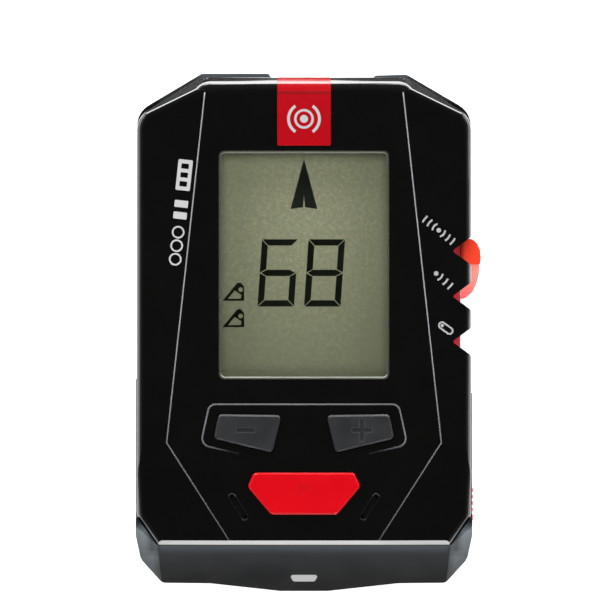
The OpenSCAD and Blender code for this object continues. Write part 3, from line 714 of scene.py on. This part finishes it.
def round_roof_edge(bm, lift=0.0):
    """Rounds the edge between the roof and its upper bevel, which turns through a curve into the chamfers."""
    height = ROOF_TOP + lift
    top_slope = sloping((0, CREASE[0][1], height), (0, 1), TOP_SLOPE)
    level = height - (BEVEL_CORNER[1] - CREASE[0][1]) * math.tan(math.radians(TOP_SLOPE))
    chamfer_turn = math.atan2(*CHAMFER)
    for flip in (-1, 1):
        for share in (0, 0.2, 0.4, 0.6, 0.8, 1):
            a = chamfer_turn * share
            inward = BEND * (math.cos(a - chamfer_turn / 2) / math.cos(chamfer_turn / 2) - 1)
            point = (flip * (BEVEL_CORNER[0] - inward * math.sin(a)), BEVEL_CORNER[1] - inward * math.cos(a), level)
            bevel = sloping(point, (flip * math.sin(a), math.cos(a)), BEVEL_SLOPE)
            trim(bm, *bevel)
            round_edge(bm, top_slope, bevel, 6 - 1.5 * share, 5)
            if share > 0.7:
                side = side_facet(flip)
                round_edge(bm, ((side[0][0], side[0][1], height), side[1]), bevel, 2.7, 6)


def front_shape(bm):
    round_roof_edge(bm)
    for flip in (-1, 1):
        trim(bm, *corner_bevel(flip))
    round_outline(bm, FRONT_OUTLINE, front_facet, 1.8, 5)


def rear_shape(bm):
    round_outline(bm, REAR_OUTLINE, back_face, 2.0)


def front_width(_middle, normals):
    """A fine rounding only where the roof or one of its facets meets an upright face."""
    upright = any(abs(n.z) < 0.1 for n in normals)
    top = any(n.z > 0.5 for n in normals)
    return 0.18 if top and upright else 0


def rear_width(middle, _normals):
    """No rounding on the lowest edges of the outside, which the cut planes round already."""
    x, y, z = abs(middle.x), middle.y, middle.z
    if z >= 2.3:
        outer = x > 33 or y < -44.5 or y > 50
        return 0.22 if outer else 0
    if y < -53 and 20 < x < 31:
        return 0.3
    return 0.1 if x < 29 and z < 0.7 and -43 < y < 38 else 0


def even(width):
    """The same rounding on every edge."""
    return lambda _middle, _normals: width


def above(height, width):
    """Rounding only on edges above that height."""
    return lambda middle, _normals: width if middle.z > height else 0


def make_body():
    """The CAD shapes that are seen, with their edges rounded."""
    refined("front_shell", "front_cover", front_width, shape=front_shape)
    refined("rear_shell", "rear_case", rear_width, shape=rear_shape)
    refined("badge", "badge_plate", above(20, 0.12), shape=lambda bm: round_roof_edge(bm, 0.2))
    refined("display_window", "display_pane", above(21, 0.2))
    refined("battery_door", "battery_cover", even(0.15), segments=2)
    refined("door_latch", "latch_slider", even(0.15), segments=2)
    refined("slider_grip", "slider_button", even(0.35), segments=3)
    refined("slider_tail", "slider_light_tail", even(0.25), segments=3)
    refined("minus_key", "minus_button_cap", above(22, 0.12))
    refined("plus_key", "plus_button_cap", above(22, 0.12))
    refined("main_key", "main_button_cap", above(22, 0.32),
            shape=lambda bm: trim(bm, (0, 0, MAIN_KEY_TOP), (0, 0, 1)))


def make_creases(roof):
    """The painted crease line on each side, from the upper bevel to the lower edge; its fading brightness is a
    painted highlight.
    """
    for side in (-1, 1):
        points = [(side * x, y) for x, y in CREASE]
        name = "crease_line_left" if side < 0 else "crease_line_right"
        bead(name, stepped(points), 0.26, 0.04, roof, CREASE_INK_AND_HIGHLIGHT, "case")


def make_slot_lips(roof):
    """A fine moulded lip round each sound slot, with painted highlights at its two ends."""
    x0, y0, x1, y1 = 15.4, -35.1, 12.7, -39.3
    along = math.degrees(math.atan2(y1 - y0, x1 - x0))
    reach = math.dist((x0, y0), (x1, y1)) / 2
    half, length = 0.7, reach + 0.7
    loop = outline([(x, y, 0.69) for x, y in ((-length, -half), (length, -half), (length, half), (-length, half))], 8)
    for name, side in (("slot_lip_left", -1), ("slot_lip_right", 1)):
        turned = moved(loop, (x0 + x1) / 2, (y0 + y1) / 2, along)
        path = [(side * x, y) for x, y in turned]
        bead(name, path, 0.22, 0.05, roof, LIP_BLACK_PAINTED_GLINTS, "case", closed=True)


def make_key_surround(roof):
    """The open line that runs round the two grey keys; its grey fades out at the lower ends as a painted highlight
    falloff.
    """
    corners = [(-13.9, -25.85), (-22.1, -23.95), (-20.2, -15.3)]
    corners += [(-x, y) for x, y in reversed(corners)]
    radii = (0, 1.9, 1.6, 1.6, 1.9, 0)
    points = []
    for i, corner in enumerate(corners):
        if radii[i]:
            points += corner_points(corners[i - 1], corner, corners[i + 1], radii[i])
        else:
            points.append(corner)
    bead("key_surround_line", stepped(points), 0.34, 0.05, roof, LINE_INK_AND_HIGHLIGHT, "case")


# ---------------------------------------------------------------- display marks

def seven_segments(digit_parts, x, y):
    """The lit parts of one digit, with mitred ends and a slight slant."""
    w, h, t, g = 3.9, 7.18, 1.32, 0.13
    parts = {
        "top": [(-w + g, h), (w - g, h), (w - t - g, h - t), (-w + t + g, h - t)],
        "bottom": [(-w + g, -h), (-w + t + g, -h + t), (w - t - g, -h + t), (w - g, -h)],
        "middle": [(-w + 2.2 * g, 0), (-w + t + g, t / 2), (w - t - g, t / 2),
                   (w - 2.2 * g, 0), (w - t - g, -t / 2), (-w + t + g, -t / 2)],
    }
    sides = (("upper_left", 1, 1), ("upper_right", -1, 1), ("lower_left", 1, -1), ("lower_right", -1, -1))
    for name, sx, sy in sides:
        upright = [(-w, h - g), (-w, g * 0.8), (-w + t, t / 2 + g), (-w + t, h - t - g)]
        parts[name] = [(px * sx, py * sy) for px, py in upright]
    lean = math.tan(SLANT)
    return [[(x + px + py * lean, y + py) for px, py in parts[name]] for name in digit_parts]


def flat_at(height):
    """A flat surface at that height, for inlay and bead."""
    return lambda _x, _y: height


def make_display():
    """A raised line round the pane's rim, coloured as a painted highlight, and the dark marks that lie on the display
    under the pane.
    """
    glass = flat_at(DISPLAY_TOP)
    pane_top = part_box("display_window")[1].z / MM
    x, low, high = 17.85, -9.55, 38.55
    # Painted highlight: the rim line carries the pane's edge highlight.
    rim = stepped(outline([(-x, low, 1), (x, low, 1), (x, high, 1), (-x, high, 1)]))
    bead("display_pane_rim", rim, 0.3, 0.05, flat_at(pane_top), RIM_PAINTED_HIGHLIGHT, "case", closed=True)

    every = ("top", "upper_left", "upper_right", "middle", "lower_left", "lower_right", "bottom")
    six = [part for part in every if part != "upper_right"]
    for name, parts, x in (("digit_left", six, -5.55), ("digit_right", every, 4.4)):
        inlay(name, seven_segments(parts, x, 12.8), glass, 0.03, 0.0, SEGMENT_INK, "case")
    arrow = [(0, 37.2), (-2.86, 26.45), (-0.25, 26.85), (0, 29.4), (0.25, 26.85), (2.86, 26.45)]
    inlay("arrow_mark", [arrow], glass, 0.03, 0.0, ARROW_INK, "case")
    for name, drop in (("mound_mark_upper", 0), ("mound_mark_lower", 5.65)):
        rim = [(-17.4, 6.85, 0), (-12.8, 6.85, 0.15), (-12.8, 9.9, 0.5), (-13.6, 10.75, 0.4), (-14.3, 10.6, 0.3)]
        body = [(-16.3, 7.25), (-13.5, 7.3), (-13.35, 8.1), (-14.8, 9.05)]
        loops = [outline(rim), body, circle(-13.55, 9.2, 0.5, 16)]
        loops = [[(x, y - drop) for x, y in loop] for loop in loops]
        inlay(name, loops, glass, 0.03, 0.0, SEGMENT_INK, "case")


# ---------------------------------------------------------------- printed marks on the shell and keys

def bar(x0, y0, x1, y1, radius=0.12):
    """A rectangle with rounded corners."""
    return outline([(x0, y0, radius), (x1, y0, radius), (x1, y1, radius), (x0, y1, radius)], 3)


def make_left_marks(roof):
    """A solid block and two rows of plain bars beside the left crease, leaning with it."""
    lean = math.degrees(math.atan2(CREASE[1][0] - CREASE[0][0], CREASE[0][1] - CREASE[1][1]))
    block = [outline([(-1.55, -3.3, 0.3), (1.55, -3.3, 0.3), (1.55, 3.3, 0.3), (-1.55, 3.3, 0.3)])]
    block += [bar(-0.8, y - 0.55, 0.8, y + 0.55, 0.1) for y in (-1.9, 0, 1.9)]
    inlay("side_mark_block", [moved(loop, -25.6, 33.7, -lean) for loop in block],
          roof, 0.02, 0.05, WHITE_INK, "case")
    bold = [bar(-1.45, y - 0.75, 1.45, y + 0.75, 0.2) for y in (-1.25, 1.25)]
    inlay("side_mark_bold", [moved(loop, -26.35, 26.3, -lean) for loop in bold],
          roof, 0.02, 0.05, WHITE_INK, "case")
    thin = []
    for y in (-2.9, 0, 2.9):
        thin += [circle(0, y, 1.35), circle(0, y, 1.0)]
    inlay("side_mark_rings", [moved(loop, -27.2, 18.6, -lean) for loop in thin],
          roof, 0.02, 0.05, WHITE_INK, "case")


def make_switch_labels(roof):
    """Pictograms for receive, send and off, each beside its notch."""
    def waves(x, radii, toward):
        loops = []
        for r in radii:
            half = math.degrees(math.asin(0.85 / r))
            loops.append(arc_band(x, 0, r, 0.4, toward - half, toward + half, 8))
        return loops

    receive = [circle(0, 0, 0.5, 20)] + waves(0, (1.35, 2.6, 3.85), 0) + waves(0, (1.35, 2.6, 3.85), 180)
    send = [circle(-2.3, 0, 0.5, 20)] + waves(-2.3, (1.4, 2.75, 4.1), 0)
    off = [bar(-1.85, -0.85, 1.85, 0.85, 0.84), bar(-1.5, -0.5, 1.5, 0.5, 0.49), circle(-0.95, 0, 0.36, 16)]
    labels = (("label_receive", receive, 28.8, 21.9, -39), ("label_send", send, 29.95, 11.15, -42),
              ("label_off", off, 30.3, 1.0, -36))
    for name, loops, x, y, turn in labels:
        inlay(name, [moved(loop, x, y, turn) for loop in loops], roof, 0.02, 0.05, LABEL_INK, "case")


def make_badge_mark():
    """A plain beacon of rings, and a dark red strip of painted shade in the groove where the badge bends over the
    upper end.
    """
    top = height_finder("badge")
    # Painted shade along the groove, as a dark strip.
    groove = [bar(-5.5, 51.18, 5.5, 51.48, 0.05)]
    inlay("badge_crease_painted_shade", groove, top, 0.02, 0.05, GROOVE_PAINTED_SHADE_RED, "case")
    rings = [circle(0, 45.7, 0.85), circle(0, 45.7, 2.1), circle(0, 45.7, 1.6)]
    rings += [arc_band(0, 45.7, 3.3, 0.6, a - 56, a + 56) for a in (0, 180)]
    inlay("badge_beacon_mark", rings, top, 0.03, 0.05, WHITE_INK, "case")


def make_key_marks():
    """Outlined minus and plus, set into the grey keys, and a faint flag on the red key."""
    minus = [bar(-2.2, -0.65, 2.2, 0.65), bar(-1.95, -0.4, 1.95, 0.4, 0.08)]
    plus = [cross_outline(2.3, 2.5, 0.65), cross_outline(2.05, 2.25, 0.4)]
    for name, node, mark in (("minus_mark", "minus_key", minus), ("plus_mark", "plus_key", plus)):
        x = -12.5 if node == "minus_key" else 12.4
        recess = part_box(node)[1].z / MM - 0.2
        inlay(name, [moved(loop, x, -20.8) for loop in mark], flat_at(recess), 0.12, 0.0, KEY_MARK,
              BODY_OF[node])
    flag = [(-1.3, -1.5), (-0.9, -0.1), (-1.5, 1.0), (1.7, 0.9), (0.3, 0.2), (1.0, -0.6), (-0.4, -0.3), (-0.9, -1.5)]
    inlay("main_key_mark", [moved(flag, 0, -33.1)], flat_at(MAIN_KEY_TOP), 0.01, 0.05, KEY_RED_MARK,
          BODY_OF["main_key"])


def cross_outline(half_width, half_height, half_arm):
    """A plus sign whose arms are twice half_arm wide."""
    a, w, h = half_arm, half_width, half_height
    return [(-a, -h), (a, -h), (a, -a), (w, -a), (w, a), (a, a),
            (a, h), (-a, h), (-a, a), (-w, a), (-w, -a), (-a, -a)]


# ---------------------------------------------------------------- materials on the CAD nodes that stay

def paint_cad_nodes():
    for name, node in NODES.items():
        material = WINDINGS.get(name) or SLOT_MATERIALS[SLOT_OF[name]]
        node.data.materials.clear()
        node.data.materials.append(material)


# ---------------------------------------------------------------- camera, floor and light

def make_camera():
    """Square above the roof, from so far away that the view is nearly parallel."""
    width, lens, sensor = 128.2, 1000, 36
    camera = bpy.data.objects.new("camera", bpy.data.cameras.new("camera"))
    bpy.context.scene.collection.objects.link(camera)
    camera.data.lens = lens
    camera.data.sensor_width = sensor
    camera.data.clip_end = 20
    camera.location = (-0.85 * MM, 7.0 * MM, ROOF_TOP * MM + width * MM * lens / sensor)
    bpy.context.scene.camera = camera


def make_floor():
    """A wide plain floor just under the back."""
    bm = bmesh.new()
    bmesh.ops.create_grid(bm, x_segments=8, y_segments=8, size=5)
    mesh = bpy.data.meshes.new("floor")
    bm.to_mesh(mesh)
    bm.free()
    floor = bpy.data.objects.new("floor", mesh)
    bpy.context.scene.collection.objects.link(floor)
    floor.location.z = -0.05 * MM
    mesh.materials.append(FLOOR_WHITE)
    see_from_below(FLOOR_WHITE)


def see_from_below(material):
    """Makes the floor one-sided, so that the back and the open door can be seen from below.

    It is also clear to shadow rays, so that the lights under it reach the back, and to rays that have come
    through another clear surface."""
    tree = material.node_tree
    output = tree.nodes["Material Output"]
    surface = output.inputs["Surface"].links[0].from_socket
    clear = tree.nodes.new("ShaderNodeBsdfTransparent")
    geometry = tree.nodes.new("ShaderNodeNewGeometry")
    path = tree.nodes.new("ShaderNodeLightPath")
    passed = tree.nodes.new("ShaderNodeMath")
    passed.operation = "GREATER_THAN"
    passed.inputs[1].default_value = 0.5
    lit = tree.nodes.new("ShaderNodeMath")
    lit.operation = "MAXIMUM"
    either = tree.nodes.new("ShaderNodeMath")
    either.operation = "MAXIMUM"
    mix = tree.nodes.new("ShaderNodeMixShader")
    tree.links.new(path.outputs["Transparent Depth"], passed.inputs[0])
    tree.links.new(geometry.outputs["Backfacing"], lit.inputs[0])
    tree.links.new(path.outputs["Is Shadow Ray"], lit.inputs[1])
    tree.links.new(lit.outputs[0], either.inputs[0])
    tree.links.new(passed.outputs[0], either.inputs[1])
    tree.links.new(either.outputs[0], mix.inputs["Fac"])
    tree.links.new(surface, mix.inputs[1])
    tree.links.new(clear.outputs[0], mix.inputs[2])
    tree.links.new(mix.outputs[0], output.inputs["Surface"])


def area_light(name, azimuth, elevation, distance, width, height, radiance, glossy=True):
    """A soft rectangular light that faces the object. With glossy False it isn't seen in reflections."""
    light = bpy.data.lights.new(name, "AREA")
    light.shape = "RECTANGLE"
    light.size = width
    light.size_y = height
    light.energy = radiance * width * height * math.pi
    lamp = bpy.data.objects.new(name, light)
    bpy.context.scene.collection.objects.link(lamp)
    a, e = math.radians(azimuth), math.radians(elevation)
    back = Vector((math.sin(a) * math.cos(e), -math.cos(a) * math.cos(e), math.sin(e)))
    lamp.location = back * distance
    lamp.visible_glossy = glossy
    lamp.rotation_mode = "QUATERNION"
    lamp.rotation_quaternion = back.to_track_quat("Z", "Y")


def make_light():
    """Strips that draw the bright edges, soft boxes that only light, and a faint pale sky."""
    for azimuth, width in ((140, 1.0), (180, 1.25), (220, 1.0)):
        area_light("top_strip", azimuth, 14, 1.6, width, 0.36, 14)
    for azimuth in (90, 270):
        area_light("side_panel", azimuth, 16, 1.6, 1.6, 0.6, 0.2)
    area_light("low_strip", 0, 7, 1.6, 2.2, 0.14, 10)
    area_light("top_softbox", 180, 66, 1.5, 1.6, 0.9, 4.6, glossy=False)
    area_light("low_softbox", 0, 55, 1.5, 1.6, 0.8, 2.4, glossy=False)
    for azimuth, elevation in ((0, -55), (180, -55), (90, -50), (270, -50)):
        area_light("under_softbox", azimuth, elevation, 1.5, 1.4, 1.0, 5)
    for azimuth in (75, 285):
        area_light("side_softbox", azimuth, 16, 1.6, 0.9, 0.6, 9, glossy=False)
    world = bpy.data.worlds.new("studio")
    bpy.context.scene.world = world
    world.use_nodes = True
    tree = world.node_tree
    background = tree.nodes["Background"]
    place_in_sky = tree.nodes.new("ShaderNodeTexCoord")
    split = tree.nodes.new("ShaderNodeSeparateXYZ")
    ramp = tree.nodes.new("ShaderNodeValToRGB")
    tree.links.new(place_in_sky.outputs["Generated"], split.inputs[0])
    tree.links.new(split.outputs["Z"], ramp.inputs["Fac"])
    tree.links.new(ramp.outputs["Color"], background.inputs["Color"])
    stops = ((0.0, 0.35), (0.15, 0.2), (0.5, 0.12), (0.85, 0.02))
    elements = ramp.color_ramp.elements
    while len(elements) < len(stops):
        elements.new(0.5)
    for element, (position, value) in zip(elements, stops):
        element.position = position
        element.color = (value, value, value, 1)


def main():
    """Builds the scene."""
    bpy.context.scene.view_settings.view_transform = "Standard"
    make_camera()
    paint_cad_nodes()
    roof = height_finder("front_shell")
    make_body()
    make_creases(roof)
    make_key_surround(roof)
    make_slot_lips(roof)
    make_display()
    make_left_marks(roof)
    make_switch_labels(roof)
    make_badge_mark()
    make_key_marks()
    make_floor()
    make_light()


main()
